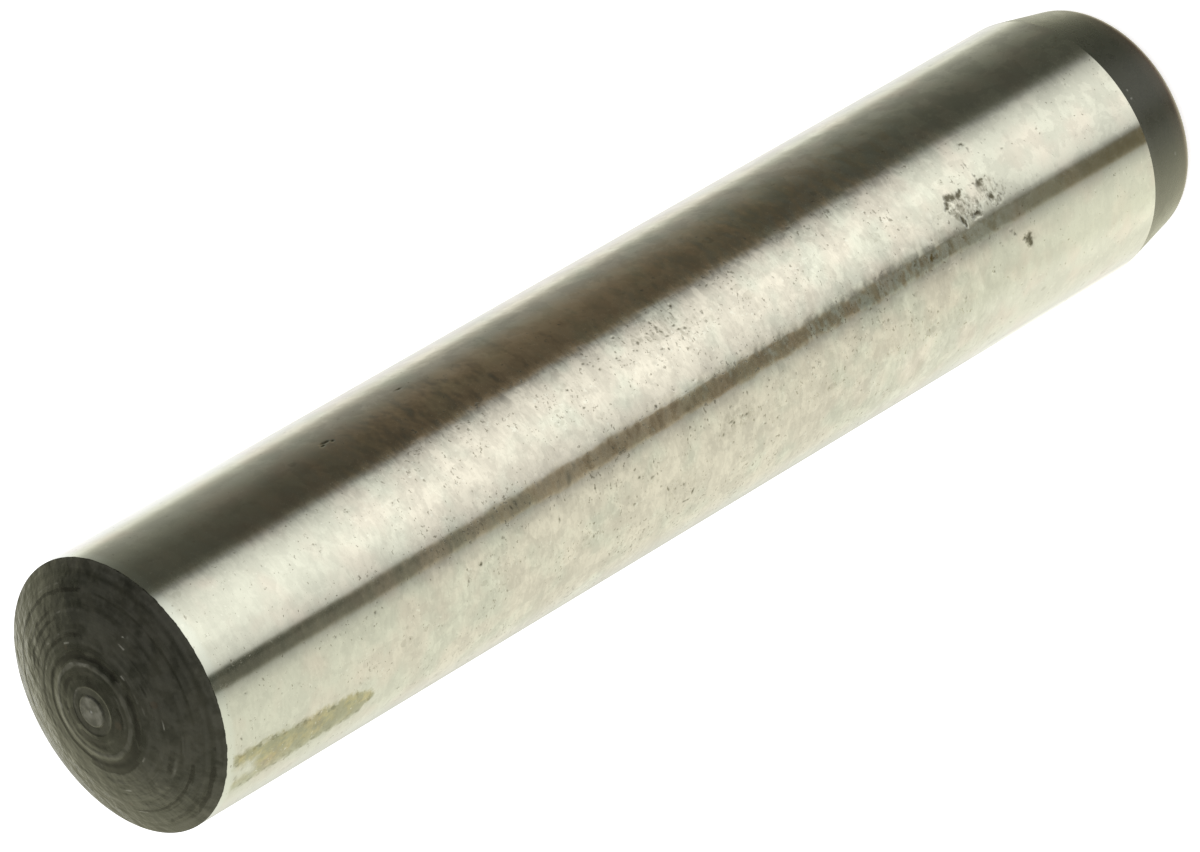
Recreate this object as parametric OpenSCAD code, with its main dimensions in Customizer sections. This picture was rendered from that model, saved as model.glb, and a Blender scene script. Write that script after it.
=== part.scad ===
// Hardened and ground dowel pin: a press-fit locating pin, turned and ground from one bar.
// It stands on its flat end, with +Z along its axis to the crown of the dome.
// The origin is the centre of the flat end. All sizes are in millimetres.

/* [Shank] */
// Diameter of the ground shank
shank_d = 10; // [6:0.5:16]
// Length from the flat end to the rim of the dome
pin_l = 50; // [24:1:120]

/* [Flat end] */
// Length of the lead chamfer along the axis
chamfer_l = 2.9; // [1.5:0.1:5]
// Slope of the lead chamfer from the axis, in degrees
chamfer_angle = 12; // [5:0.5:20]
// Radius that rounds the chamfer into the flat face
foot_round_r = 0.8; // [0.2:0.05:1]

/* [Domed end] */
// Height of the dome's crown above its rim
dome_h = 1.3; // [0.6:0.05:2]

/* [Turned centre of the dome] */
// Diameter of the flat-topped pip on the axis
pip_d = 1.08; // [0.6:0.02:1.4]
// Width of the square cut round the pip
pip_cut_w = 0.34; // [0.2:0.02:0.4]
// Depth of the square cut, below its outer edge
pip_cut_depth = 0.03; // [0.02:0.01:0.12]
// Width of the land between the cut and the dish
land_w = 0.1; // [0.04:0.02:0.2]
// Depth of the dish between the land and the ridge
dish_depth = 0.035; // [0.01:0.005:0.06]
// Radius of the raised ridge's crest
ridge_r = 1.69; // [1.6:0.01:2]
// Width of the raised ridge
ridge_w = 0.2; // [0.1:0.02:0.24]
// Height of the ridge above the dome
ridge_h = 0.03; // [0.02:0.01:0.08]
// Width of the valley outside the ridge
valley_w = 0.42; // [0.2:0.02:0.5]
// Depth of the valley
valley_depth = 0.03; // [0.02:0.005:0.08]

/* [Hidden] */
$fn = 128;

shank_r = shank_d / 2;

// Where the chamfer and the flat face would meet, and how far the rounding reaches from there
foot_corner_r = shank_r - chamfer_l * tan(chamfer_angle);
foot_round_reach = foot_round_r * tan(45 - chamfer_angle / 2);
foot_flat_r = foot_corner_r - foot_round_reach;
foot_round_top = [foot_corner_r, 0]
    + foot_round_reach * [sin(chamfer_angle), cos(chamfer_angle)];

// The dome is the cap of a sphere
sphere_r = (shank_r * shank_r + dome_h * dome_h) / (2 * dome_h);
sphere_z = pin_l + dome_h - sphere_r;

// The dish and the valley run a little way under the ridge, so that its flanks end in them
ridge_tuck = 0.02;
pip_cut_out_r = pip_d / 2 + pip_cut_w;
dish_in_r = pip_cut_out_r + land_w;
dish_out_r = ridge_r - ridge_w / 2 + ridge_tuck;
valley_in_r = ridge_r + ridge_w / 2 - ridge_tuck;
valley_out_r = valley_in_r + valley_w;

// Height of the dome's surface at radius r
function dome_z(r) = sphere_z + sqrt(sphere_r * sphere_r - r * r);
// Point at radius r on the dome, moved out by h along the dome's normal
function off_dome(r, h) =
    [0, sphere_z] + (1 + h / sphere_r) * [r, dome_z(r) - sphere_z];
// Radius of the circle that a groove or ridge of width w and height h is an arc of
function arc_r(w, h) = (w * w / 4 + h * h) / (2 * h);

// The modules down to turned_section draw the half section: X is the radius, Y the height.

module shank_section() {
    polygon([
        [0, 0],
        [foot_flat_r, 0],
        foot_round_top,
        [shank_r, chamfer_l],
        [shank_r, pin_l],
        [0, pin_l]
    ]);
    // The rounding of the foot, outside the polygon's straight cut across its corner
    intersection() {
        translate([foot_flat_r, foot_round_r])
            circle(r = foot_round_r);
        polygon([[foot_flat_r, 0], [foot_corner_r, 0], foot_round_top]);
    }
}

module dome_section() {
    intersection() {
        translate([0, sphere_z])
            circle(r = sphere_r);
        translate([0, pin_l])
            square([shank_r, dome_h]);
    }
}

// Round-bottomed groove in the dome between two radii
module groove_section(in_r, out_r, depth) {
    bottom_r = arc_r(out_r - in_r, depth);
    translate(off_dome((in_r + out_r) / 2, bottom_r - depth))
        circle(r = bottom_r);
}

// Round-topped ridge on the dome
module ridge_section() {
    top_r = arc_r(ridge_w, ridge_h);
    translate(off_dome(ridge_r, ridge_h - top_r))
        circle(r = top_r);
}

// Square-shouldered cut round the pip
module pip_cut_section() {
    translate([pip_d / 2, dome_z(pip_cut_out_r) - pip_cut_depth])
        square([pip_cut_w, dome_h]);
}

module pip_section() {
    square([pip_d / 2, pin_l + dome_h]);
}

module turned_section() {
    difference() {
        union() {
            shank_section();
            dome_section();
        }
        groove_section(dish_in_r, dish_out_r, dish_depth);
        groove_section(valley_in_r, valley_out_r, valley_depth);
        pip_cut_section();
    }
    ridge_section();
    pip_section();
}

module dowel_pin() {
    color([0.66, 0.66, 0.62])
        rotate_extrude()
            turned_section();
}

dowel_pin();
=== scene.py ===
"""A hardened dowel pin standing on its flat end: ground shank, scaled lead end and turned dome."""

import math

import bmesh
import bpy
from mathutils import Matrix, Vector, noise


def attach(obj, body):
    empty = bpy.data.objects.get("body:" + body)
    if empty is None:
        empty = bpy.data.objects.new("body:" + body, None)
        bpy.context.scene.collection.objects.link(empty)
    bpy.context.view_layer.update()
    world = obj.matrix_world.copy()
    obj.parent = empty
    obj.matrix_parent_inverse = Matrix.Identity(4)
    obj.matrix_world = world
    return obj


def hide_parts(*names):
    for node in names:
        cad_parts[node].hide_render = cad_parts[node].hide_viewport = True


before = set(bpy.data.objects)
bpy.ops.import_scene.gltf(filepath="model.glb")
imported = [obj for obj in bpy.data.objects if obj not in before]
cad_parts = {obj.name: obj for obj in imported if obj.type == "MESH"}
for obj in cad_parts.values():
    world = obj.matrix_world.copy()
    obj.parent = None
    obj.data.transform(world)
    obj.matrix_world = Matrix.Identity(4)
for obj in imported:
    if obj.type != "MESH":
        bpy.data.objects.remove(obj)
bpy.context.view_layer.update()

MM = 0.001
# Without a seed, the vectors of the noise differ from run to run
NOISE_SEED = 3
noise.seed_set(NOISE_SEED)

# Sizes of the turned pin, in millimetres
SHANK_R = 5.0
PIN_LENGTH = 50.0
CHAMFER_LENGTH = 2.9
CHAMFER_ANGLE = math.radians(12)
FOOT_ROUND_R = 0.8
DOME_HEIGHT = 1.3
PIP_R = 0.54
PIP_CUT_OUT_R = 0.88
PIP_CUT_DEPTH = 0.015
LAND_WIDTH = 0.1
DISH_DEPTH = 0.006
RIDGE_R = 1.69
RIDGE_WIDTH = 0.2
RIDGE_HEIGHT = 0.012
RIDGE_TUCK = 0.02
VALLEY_WIDTH = 0.42
VALLEY_DEPTH = 0.014

# Worked out from those
CROWN_Z = PIN_LENGTH + DOME_HEIGHT
SPHERE_R = (SHANK_R**2 + DOME_HEIGHT**2) / (2 * DOME_HEIGHT)
SPHERE_Z = CROWN_Z - SPHERE_R
FOOT_CORNER_R = SHANK_R - CHAMFER_LENGTH * math.tan(CHAMFER_ANGLE)
FOOT_FLAT_R = FOOT_CORNER_R - FOOT_ROUND_R * math.tan(math.pi / 4 - CHAMFER_ANGLE / 2)
DISH_IN_R = PIP_CUT_OUT_R + LAND_WIDTH
DISH_OUT_R = RIDGE_R - RIDGE_WIDTH / 2 + RIDGE_TUCK
VALLEY_IN_R = RIDGE_R + RIDGE_WIDTH / 2 - RIDGE_TUCK
VALLEY_OUT_R = VALLEY_IN_R + VALLEY_WIDTH
DEGREES_PER_MM = math.degrees(1 / SHANK_R)

# How finely the pin is turned: steps round the axis, and millimetres from ring to ring
STEPS_ROUND = 240
FOOT_RING_STEP = 0.25
FOOT_ROUND_STEP = 0.06
CHAMFER_RING_STEP = 0.1
SHANK_RING_STEP = 1.0
DOME_RING_STEP = 0.036

# What the tools left on the dome: the feed marks, a deeper ring and fine chatter, in millimetres
FEED = 0.33
FEED_CREST_R = 2.43
FEED_DEPTH = 0.0038
CLEAR_FEED_DEGREES = -175
CLEAR_FEED_GAIN = 0.3
FINE_FEED = 0.15
FINE_FEED_DEPTH = 0.0004
DEEP_RING_R = 4.05
DEEP_RING_WIDTH = 0.16
DEEP_RING_DEPTH = 0.006

# Broken rings left on the dome, dark where scale fills them and where shade is painted, light where they are
# rubbed and where a highlight is painted: radius and half width in millimetres, then the middle and half the
# turn in degrees, and strength
SHADE_AND_GRIME_ARCS = [
    (1.96, 0.16, -84, 25, 1.0), (1.96, 0.15, -44, 40, 0.55), (1.98, 0.12, -20, 14, 0.6),
    (1.98, 0.14, 18, 20, 0.5), (1.98, 0.15, 45, 14, 0.75), (2.00, 0.20, 80, 22, 1.0),
    (2.12, 0.32, 108, 30, 1.0), (2.05, 0.08, 180, 76, 0.85), (1.24, 0.22, 132, 28, 1.0),
    (1.14, 0.26, -168, 20, 1.0), (1.31, 0.11, -112, 24, 0.8), (1.00, 0.12, -52, 22, 0.35),
    (1.32, 0.08, 33, 12, 0.6), (1.30, 0.18, 166, 18, 0.6), (3.97, 0.07, 84, 40, 0.7),
    (4.06, 0.08, -88, 30, 0.8), (2.56, 0.07, -128, 46, 0.8), (2.90, 0.06, -135, 40, 0.7),
    (3.24, 0.08, -118, 26, 0.8), (3.52, 0.07, -110, 20, 0.8), (4.08, 0.08, -130, 30, 0.8),
    (0.60, 0.05, 160, 100, 0.5), (0.62, 0.05, -90, 60, 0.4), (3.28, 0.14, 66, 14, 0.25),
    (4.62, 0.10, 60, 16, 0.6), (4.45, 0.10, 84, 12, 0.5), (2.72, 0.06, 20, 16, 0.35),
    (2.62, 0.10, -75, 12, 0.4),
]
HIGHLIGHT_AND_WEAR_ARCS = [
    (1.68, 0.10, -110, 72, 1.0), (1.67, 0.10, -20, 50, 0.75), (1.70, 0.11, 50, 60, 0.75),
    (1.70, 0.12, 140, 52, 0.8), (0.85, 0.06, -118, 34, 0.8), (0.82, 0.06, 46, 22, 0.7),
    (2.30, 0.05, 0, 17, 0.8), (2.38, 0.05, 104, 22, 0.6), (2.74, 0.07, -124, 46, 0.9),
    (3.06, 0.07, -140, 36, 0.8), (3.74, 0.10, -134, 40, 1.0), (4.24, 0.09, -132, 36, 1.0),
    (4.26, 0.06, -88, 11, 0.9), (3.42, 0.07, 64, 8, 0.8), (2.44, 0.07, -136, 44, 0.9),
    (3.40, 0.07, -85, 14, 0.8), (2.70, 0.05, 55, 18, 0.5), (2.24, 0.05, -128, 26, 0.7),
    (3.62, 0.06, 40, 10, 0.5), (2.95, 0.05, 80, 22, 0.5), (1.45, 0.06, 20, 26, 0.4),
]
# Short bright scores in the same terms, stronger than any ring
SCORES = [
    (2.24, 0.05, -13, 3, 1.2), (2.27, 0.04, 11, 5, 1.15), (2.40, 0.045, -80, 6, 1.35),
    (2.36, 0.045, 69, 4, 1.35), (3.01, 0.04, 33, 6, 1.15), (3.03, 0.06, -27, 4, 1.3),
    (4.01, 0.05, 114, 3, 1.5), (1.33, 0.05, -164, 3, 1.25), (3.08, 0.05, 112, 5, 1.25),
    (3.44, 0.05, 64, 3, 1.2), (4.25, 0.045, -117, 4, 1.25), (3.73, 0.05, -118, 6, 1.2),
    (2.38, 0.04, 20, 4, 1.1), (3.34, 0.05, -27, 2, 1.15), (1.66, 0.04, -17, 3, 1.15),
]

# Corrosion pits in the shank. Each is its height up the pin and its degrees round from the front,
# then its half size along the pin and its half size round it, in millimetres.
BROAD_PITS = [
    (12.46, -3.9, 0.16, 0.14), (12.28, -3.0, 0.14, 0.13), (12.04, -3.0, 0.16, 0.12),
    (11.88, -3.8, 0.13, 0.08), (12.64, -1.9, 0.13, 0.09), (12.78, -0.8, 0.12, 0.08),
    (12.38, 6.6, 0.07, 0.17), (12.30, 8.8, 0.06, 0.14), (11.62, 7.7, 0.17, 0.09),
    (10.90, -2.6, 0.14, 0.13), (10.76, -3.6, 0.14, 0.06), (10.70, 4.3, 0.11, 0.13),
    (9.68, 27.8, 0.20, 0.22), (9.63, 29.6, 0.10, 0.16), (9.88, 26.6, 0.10, 0.06),
    (39.95, -49.3, 0.17, 0.07), (39.70, -48.0, 0.09, 0.05), (40.15, -48.2, 0.08, 0.04),
    (35.85, -55.8, 0.13, 0.06), (37.80, 27.6, 0.07, 0.06),
]
FAINT_PITS = [
    (12.88, -0.2, 0.09, 0.08), (12.74, 1.5, 0.05, 0.14), (12.26, 0.7, 0.10, 0.07),
    (12.52, 1.6, 0.12, 0.05), (12.12, 1.4, 0.12, 0.06), (11.90, 1.6, 0.05, 0.08),
    (11.82, 3.2, 0.06, 0.10), (12.05, -1.0, 0.07, 0.07), (12.56, 4.0, 0.06, 0.10),
    (12.00, 5.6, 0.06, 0.10), (11.86, 8.2, 0.08, 0.06), (12.14, 7.2, 0.05, 0.09),
    (11.38, 3.2, 0.06, 0.14), (11.32, 5.4, 0.06, 0.12), (11.16, -4.0, 0.16, 0.06),
    (10.50, -4.0, 0.10, 0.05), (10.86, -6.4, 0.05, 0.09), (10.87, 0.4, 0.06, 0.08),
    (10.80, 2.9, 0.07, 0.07), (10.64, 5.6, 0.05, 0.08), (10.28, 5.0, 0.05, 0.12),
    (10.36, 7.2, 0.10, 0.08), (10.10, 5.6, 0.08, 0.05), (10.22, 1.2, 0.05, 0.16),
    (10.46, -20.4, 0.16, 0.10), (10.32, -17.4, 0.06, 0.14), (10.93, -11.6, 0.05, 0.18),
    (10.40, 20.8, 0.09, 0.10), (10.28, 22.4, 0.06, 0.10), (13.25, 36.7, 0.13, 0.07),
    (11.68, 33.0, 0.08, 0.08), (14.30, 14.0, 0.14, 0.10), (13.76, 21.8, 0.06, 0.05),
    (9.08, -10.4, 0.06, 0.04), (14.06, 7.2, 0.06, 0.06), (46.55, 31.8, 0.07, 0.06),
    (47.33, 31.8, 0.06, 0.05), (49.31, 40.0, 0.04, 0.08), (43.74, 47.6, 0.07, 0.06),
    (43.35, 41.5, 0.04, 0.18), (44.62, 22.8, 0.08, 0.05), (42.70, 22.4, 0.06, 0.10),
    (48.80, 23.8, 0.09, 0.04),
]
SMALL_PITS = [
    (31.25, -14.6, 0.06, 0.04), (30.00, -20.7, 0.06, 0.05), (29.85, -19.3, 0.05, 0.04),
    (29.74, -17.7, 0.06, 0.04), (29.57, -15.0, 0.07, 0.05), (28.69, -15.5, 0.06, 0.04),
    (28.65, -11.4, 0.05, 0.06), (28.20, -23.6, 0.07, 0.04), (27.78, -13.6, 0.06, 0.04),
    (27.93, -14.4, 0.06, 0.03), (27.56, -16.6, 0.06, 0.08), (27.00, -18.0, 0.05, 0.07),
    (26.75, -18.4, 0.10, 0.04), (26.51, -18.6, 0.07, 0.11), (26.53, -21.4, 0.05, 0.12),
    (26.42, -15.7, 0.05, 0.06), (26.35, -12.8, 0.11, 0.04), (26.92, -9.7, 0.06, 0.04),
    (26.62, -8.1, 0.04, 0.06), (25.83, -15.6, 0.06, 0.04), (25.60, -20.5, 0.05, 0.07),
    (25.52, -12.7, 0.08, 0.06), (25.77, -13.3, 0.09, 0.04), (25.36, -23.1, 0.09, 0.06),
    (25.20, -14.8, 0.07, 0.03), (25.19, -8.3, 0.04, 0.09), (24.68, -16.5, 0.06, 0.04),
    (24.49, -14.0, 0.04, 0.09), (27.90, 2.0, 0.04, 0.06), (27.35, 6.8, 0.06, 0.04),
    (31.12, -5.0, 0.06, 0.04), (28.36, 8.8, 0.05, 0.04), (26.40, 7.3, 0.09, 0.04),
    (34.00, 28.8, 0.05, 0.12), (32.10, 25.0, 0.06, 0.05), (32.50, 43.8, 0.05, 0.07),
    (31.27, 47.5, 0.08, 0.05), (31.25, 51.4, 0.06, 0.06), (30.06, 30.5, 0.06, 0.05),
    (29.28, 27.8, 0.05, 0.09), (29.46, 33.6, 0.10, 0.05), (29.05, 32.8, 0.06, 0.04),
    (29.07, 39.8, 0.06, 0.05), (28.74, 43.0, 0.05, 0.15), (27.95, 44.6, 0.09, 0.07),
    (27.45, 50.8, 0.05, 0.12), (27.75, 53.8, 0.18, 0.05), (25.41, 39.0, 0.07, 0.04),
    (25.32, 24.0, 0.06, 0.07), (25.40, 30.3, 0.14, 0.05), (25.27, 31.3, 0.08, 0.05),
    (24.82, 30.4, 0.06, 0.04), (24.62, 30.9, 0.07, 0.04), (24.34, 34.4, 0.06, 0.09),
    (25.85, 33.5, 0.09, 0.06), (23.15, 40.0, 0.06, 0.06), (23.80, 39.0, 0.06, 0.04),
]
# Each kind with its depth in millimetres and how strongly it darkens the skin
PIT_KINDS = [(BROAD_PITS, 0.008, 1.0), (FAINT_PITS, 0.003, 0.62), (SMALL_PITS, 0.003, 0.76)]
PIT_RAGGEDNESS = 0.35
PIT_WANDER = 0.055
PIT_EDGE_REACH = 2.2
PIT_SPARE, PIT_SPARE_ROUND = 0.06, 0.12
RING_CUTS_IN_PITS = 7
FACE_CUTS_IN_PITS = 3

# ---------------- camera

AIM = Vector((-0.00037, 0.0, 0.02705))
CAMERA_DISTANCE = 0.3034
CAMERA_AZIMUTH = math.radians(0.088)
CAMERA_ELEVATION = math.radians(37.872)
CAMERA_ROLL = math.radians(-120.46)
LENS = 263.9


def add_camera():
    data = bpy.data.cameras.new("camera")
    camera = bpy.data.objects.new("camera", data)
    bpy.context.scene.collection.objects.link(camera)
    data.sensor_width = 36.0
    data.lens = LENS
    data.clip_start = 0.01
    data.clip_end = 100.0
    turn = (
        Matrix.Rotation(CAMERA_AZIMUTH, 4, "Z")
        @ Matrix.Rotation(math.pi / 2 - CAMERA_ELEVATION, 4, "X")
        @ Matrix.Rotation(CAMERA_ROLL, 4, "Z")
    )
    back = turn.to_3x3() @ Vector((0, 0, 1))
    camera.matrix_world = Matrix.Translation(AIM + back * CAMERA_DISTANCE) @ turn
    bpy.context.scene.camera = camera


# ---------------- the turned form


def dome_z(r):
    return SPHERE_Z + math.sqrt(SPHERE_R**2 - r**2)


def run_to(bm, tip, r, z, step):
    """Carries the outline straight on to radius r and height z, in even steps."""
    end = Vector((r * MM, 0, z * MM))
    count = max(1, round((end - tip.co).length / (step * MM)))
    stride = (end - tip.co) / count
    for _ in range(count):
        start = tip.co.copy()
        tip = bmesh.ops.extrude_vert_indiv(bm, verts=[tip])["verts"][0]
        tip.co = start + stride
    return tip


def sweep(bm, tip, centre_r, centre_z, turn, step):
    """Carries the outline on along an arc about (centre_r, centre_z), turning by that angle about Y."""
    centre = Vector((centre_r * MM, 0, centre_z * MM))
    radius = (tip.co - centre).length
    count = max(1, round(abs(turn) * radius / (step * MM)))
    made = bmesh.ops.spin(bm, geom=[tip], cent=centre, axis=(0, 1, 0), angle=turn, steps=count)
    return next(g for g in made["geom_last"] if isinstance(g, bmesh.types.BMVert))


def turned_outline(bm):
    """The half section, from the centre of the flat end round to the crown of the plain dome."""
    tip = bm.verts.new((0, 0, 0))
    tip = run_to(bm, tip, FOOT_FLAT_R, 0, FOOT_RING_STEP)
    tip = sweep(bm, tip, FOOT_FLAT_R, FOOT_ROUND_R, -(math.pi / 2 - CHAMFER_ANGLE), FOOT_ROUND_STEP)
    tip = run_to(bm, tip, SHANK_R, CHAMFER_LENGTH, CHAMFER_RING_STEP)
    tip = run_to(bm, tip, SHANK_R, PIN_LENGTH, SHANK_RING_STEP)
    sweep(bm, tip, 0, SPHERE_Z, -math.asin(SHANK_R / SPHERE_R), DOME_RING_STEP)


def sort_by_points(bm):
    """Puts the edges and the faces in the order of their points, which is the same in each run."""
    bm.verts.index_update()
    count = len(bm.verts)
    for elements in (bm.edges, bm.faces):
        elements.sort(key=lambda e: min(v.index for v in e.verts) * count + max(v.index for v in e.verts))
        elements.index_update()


def turned_body():
    bm = bmesh.new()
    turned_outline(bm)
    bmesh.ops.spin(
        bm, geom=bm.verts[:] + bm.edges[:], cent=(0, 0, 0), axis=(0, 0, 1),
        angle=2 * math.pi, steps=STEPS_ROUND, use_merge=True,
    )
    bmesh.ops.remove_doubles(bm, verts=bm.verts, dist=1e-7)
    sort_by_points(bm)
    bmesh.ops.recalc_face_normals(bm, faces=bm.faces)
    return bm


# ---------------- the tool marks on the dome


def place_of(co):
    """Height in millimetres, and degrees round from the front towards -X."""
    return co.z / MM, math.degrees(math.atan2(-co.x, -co.y))


def hump(r, middle, width):
    """1 at the middle of a rounded band of that width, easing to 0 at its edges."""
    off = abs(r - middle) / (width / 2)
    return 0.5 + 0.5 * math.cos(math.pi * off) if off < 1 else 0.0


def centre_relief(r):
    """How far the turned centre stands off the plain dome: pip, cut, dish, ridge and valley."""
    if r < PIP_R:
        return CROWN_Z - dome_z(r)
    if r < PIP_CUT_OUT_R:
        return dome_z(PIP_CUT_OUT_R) - PIP_CUT_DEPTH - dome_z(r)
    ridge = hump(r, RIDGE_R, RIDGE_WIDTH * 1.4)
    dish = hump(r, (DISH_IN_R + DISH_OUT_R) / 2, DISH_OUT_R - DISH_IN_R)
    valley = hump(r, (VALLEY_IN_R + VALLEY_OUT_R) / 2, VALLEY_WIDTH)
    return RIDGE_HEIGHT * ridge - DISH_DEPTH * dish - VALLEY_DEPTH * valley


def feed_relief(point, r):
    """The spiral-like lines of the turning tool at that point, uneven from ring to ring and round each."""
    ring = noise.noise(Vector((0.3, 0.7, r * 2.3)))
    patch = noise.noise(Vector((point.x, point.y, r * 3.0)) * 1.1)
    broad = 0.5 - 0.5 * math.cos(2 * math.pi * (r - FEED_CREST_R) / FEED)
    fine = 0.5 - 0.5 * math.cos(2 * math.pi * r / FINE_FEED + 3 * ring)
    relief = -FEED_DEPTH * broad * max(0.1, 0.65 + 0.8 * ring + 0.7 * patch)
    relief -= FINE_FEED_DEPTH * fine * max(0.0, 0.6 + 1.2 * patch)
    relief -= DEEP_RING_DEPTH * hump(r, DEEP_RING_R, DEEP_RING_WIDTH) * max(0.0, 0.5 + 1.5 * patch)
    clear = 0.5 + 0.5 * math.cos(math.radians(place_of(point * MM)[1] - CLEAR_FEED_DEGREES))
    return relief * (1 + CLEAR_FEED_GAIN * clear**2)


def arcs_at(arcs, r, degrees, wobble):
    """How strongly the broken rings in the list mark that radius and angle, from 0 to 1."""
    strongest = 0.0
    for ring_r, half_width, middle, half_turn, strength in arcs:
        off = abs(r + 0.05 * wobble - ring_r) / half_width
        turn = abs((degrees + 14 * wobble - middle + 180) % 360 - 180) / half_turn
        if off < 1 and turn < 1:
            strongest = max(strongest, strength * min(1.0, 2.4 * (1 - off)) * min(1.0, 5 * (1 - turn)))
    return strongest


def cut_dome(bm, crest, grime_and_shade):
    """Cuts the tool marks into the dome, and notes where crests get painted highlight and rubbed wear, and
    where rings get painted shade and grime.
    """
    for v in bm.verts:
        if v.co.z < PIN_LENGTH * MM + 1e-7:
            continue
        point = v.co / MM
        r = math.hypot(point.x, point.y)
        marks = feed_relief(point, r) * min(1.0, (SHANK_R - r) / 0.2)
        relief = centre_relief(r)
        if r < PIP_CUT_OUT_R:
            marks *= 0.3
        v.co.z += (relief + marks) * MM
        degrees = place_of(v.co)[1]
        wobble = noise.noise(point * 1.7) + 0.6 * noise.noise(point * 4.1)
        # Painted highlight on the crests of the feed marks, in the pip's cut and towards the rim
        feed_crest = 0.3 if r < PIP_CUT_OUT_R else 0.0
        if r > VALLEY_OUT_R:
            feed_crest = 0.45 * max(0.0, 1 + marks / FEED_DEPTH) + 0.2 * min(1.0, max(0.0, (r - 4.5) / 0.3))
        # Painted highlight, partly rubbed wear, along the lighter rings and the scores
        rings = max(arcs_at(HIGHLIGHT_AND_WEAR_ARCS, r, degrees, wobble), arcs_at(SCORES, r, degrees, 0.4 * wobble))
        v[crest] = 1.0 if r < PIP_R else max(feed_crest, rings)
        # Painted shade in the sunk dish and valley, darker where they sink deeper, and along the darker
        # rings with their grime
        sunk = 0.22 * max(0.0, -relief / VALLEY_DEPTH) if r > PIP_CUT_OUT_R else 0.0
        v[grime_and_shade] = min(1.0, max(sunk, arcs_at(SHADE_AND_GRIME_ARCS, r, degrees, wobble)))


# ---------------- the corrosion pits in the shank


def pits_near(pits, height, degrees):
    """How deep inside a pit that point lies: 1 at a pit's middle, falling to 0 past its edge."""
    best = 0.0
    for pit_height, pit_degrees, half_along, half_round in pits:
        along = (height - pit_height) / (half_along * PIT_EDGE_REACH)
        if abs(along) > 1:
            continue
        across = math.radians(degrees - pit_degrees) * SHANK_R / (half_round * PIT_EDGE_REACH)
        if abs(across) > 1:
            continue
        best = max(best, 1 - math.hypot(along, across))
    return best


def on_shank(co):
    return CHAMFER_LENGTH * MM + 1e-6 < co.z < PIN_LENGTH * MM - 1e-6


def faces_in_pits(bm, pits, spare):
    """The shank's faces in the pits, or within so many millimetres of one along the pin."""
    grown = [(h, d, a * PIT_EDGE_REACH + spare, b * PIT_EDGE_REACH + PIT_SPARE_ROUND) for h, d, a, b in pits]
    found = []
    for f in bm.faces:
        middle = f.calc_center_median()
        if on_shank(middle) and any(
            abs(middle.z / MM - h) < a and abs(place_of(middle)[1] - d) * math.pi / 180 * SHANK_R < b
            for h, d, a, b in grown
        ):
            found.append(f)
    return found


def edges_in_pits(bm, pits, spare):
    """The edges of the faces in the pits, each once and in the same order in each run."""
    return list(dict.fromkeys(e for f in faces_in_pits(bm, pits, spare) for e in f.edges))


def refine_pits(bm, pits):
    """Gives the skin round each pit small faces: the long faces are cut across, then all are quartered."""
    upright = [
        e for e in edges_in_pits(bm, pits, SHANK_RING_STEP / 2)
        if abs(e.verts[0].co.z - e.verts[1].co.z) > 0.5 * SHANK_RING_STEP * MM
    ]
    bmesh.ops.subdivide_edges(bm, edges=upright, cuts=RING_CUTS_IN_PITS, use_grid_fill=True)
    sort_by_points(bm)
    edges = edges_in_pits(bm, pits, PIT_SPARE)
    bmesh.ops.subdivide_edges(bm, edges=edges, cuts=FACE_CUTS_IN_PITS, use_grid_fill=True)
    for v in bm.verts:
        if on_shank(v.co):
            out = math.hypot(v.co.x, v.co.y)
            v.co.x *= SHANK_R * MM / out
            v.co.y *= SHANK_R * MM / out


def sink_pits(bm, pits, depth, strength, pitted):
    """Sinks the pits into the shank, and notes in the pitted layer how deep inside one each point lies."""
    for v in bm.verts:
        if not on_shank(v.co):
            continue
        height, degrees = place_of(v.co)
        wander = noise.noise_vector(v.co / MM * 3.3) + 0.5 * noise.noise_vector(v.co / MM * 8.7)
        height += PIT_WANDER * wander.x
        degrees += PIT_WANDER * wander.y * DEGREES_PER_MM
        inside = pits_near(pits, height, degrees)
        if inside <= 0:
            continue
        ragged = noise.noise(v.co / MM * 7.0) + 0.5 * noise.noise(v.co / MM * 17.0)
        sunk = min(1.0, max(0.0, 1.5 * inside - 0.4 + PIT_RAGGEDNESS * ragged))
        shrink = 1 - depth * sunk * sunk * (3 - 2 * sunk) / SHANK_R
        v.co.x *= shrink
        v.co.y *= shrink
        v[pitted] = max(v[pitted], inside * strength)


# ---------------- the finished piece

GROUND, SCALED = 0, 1


def finish_faces(bm):
    """Keeps the two ground edges crisp and says which faces are ground and which keep their scale."""
    edge_heights = (CHAMFER_LENGTH * MM, PIN_LENGTH * MM)
    for e in bm.edges:
        e.smooth = not any(all(abs(v.co.z - z) < 1e-6 for v in e.verts) for z in edge_heights)
    for f in bm.faces:
        f.smooth = True
        f.material_index = GROUND if on_shank(f.calc_center_median()) else SCALED


def make_pin():
    bm = turned_body()
    crest = bm.verts.layers.float.new("crest")
    grime_and_shade = bm.verts.layers.float.new("grime_and_shade")
    pitted = bm.verts.layers.float.new("pitted")
    refine_pits(bm, BROAD_PITS + FAINT_PITS + SMALL_PITS)
    finish_faces(bm)
    for pits, depth, strength in PIT_KINDS:
        sink_pits(bm, pits, depth, strength, pitted)
    cut_dome(bm, crest, grime_and_shade)
    mesh = bpy.data.meshes.new("pin_body")
    bm.to_mesh(mesh)
    bm.free()
    pin = bpy.data.objects.new("pin_body", mesh)
    bpy.context.scene.collection.objects.link(pin)
    mesh.materials.append(ground_steel())
    mesh.materials.append(dark_scale())
    return pin


# ---------------- node helpers


def fill(tree, node, values):
    """Fills the node's inputs with values, or links them from sockets."""
    for key, value in (values or {}).items():
        if isinstance(value, bpy.types.NodeSocket):
            tree.links.new(value, node.inputs[key])
        else:
            node.inputs[key].default_value = value
    return node


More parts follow.
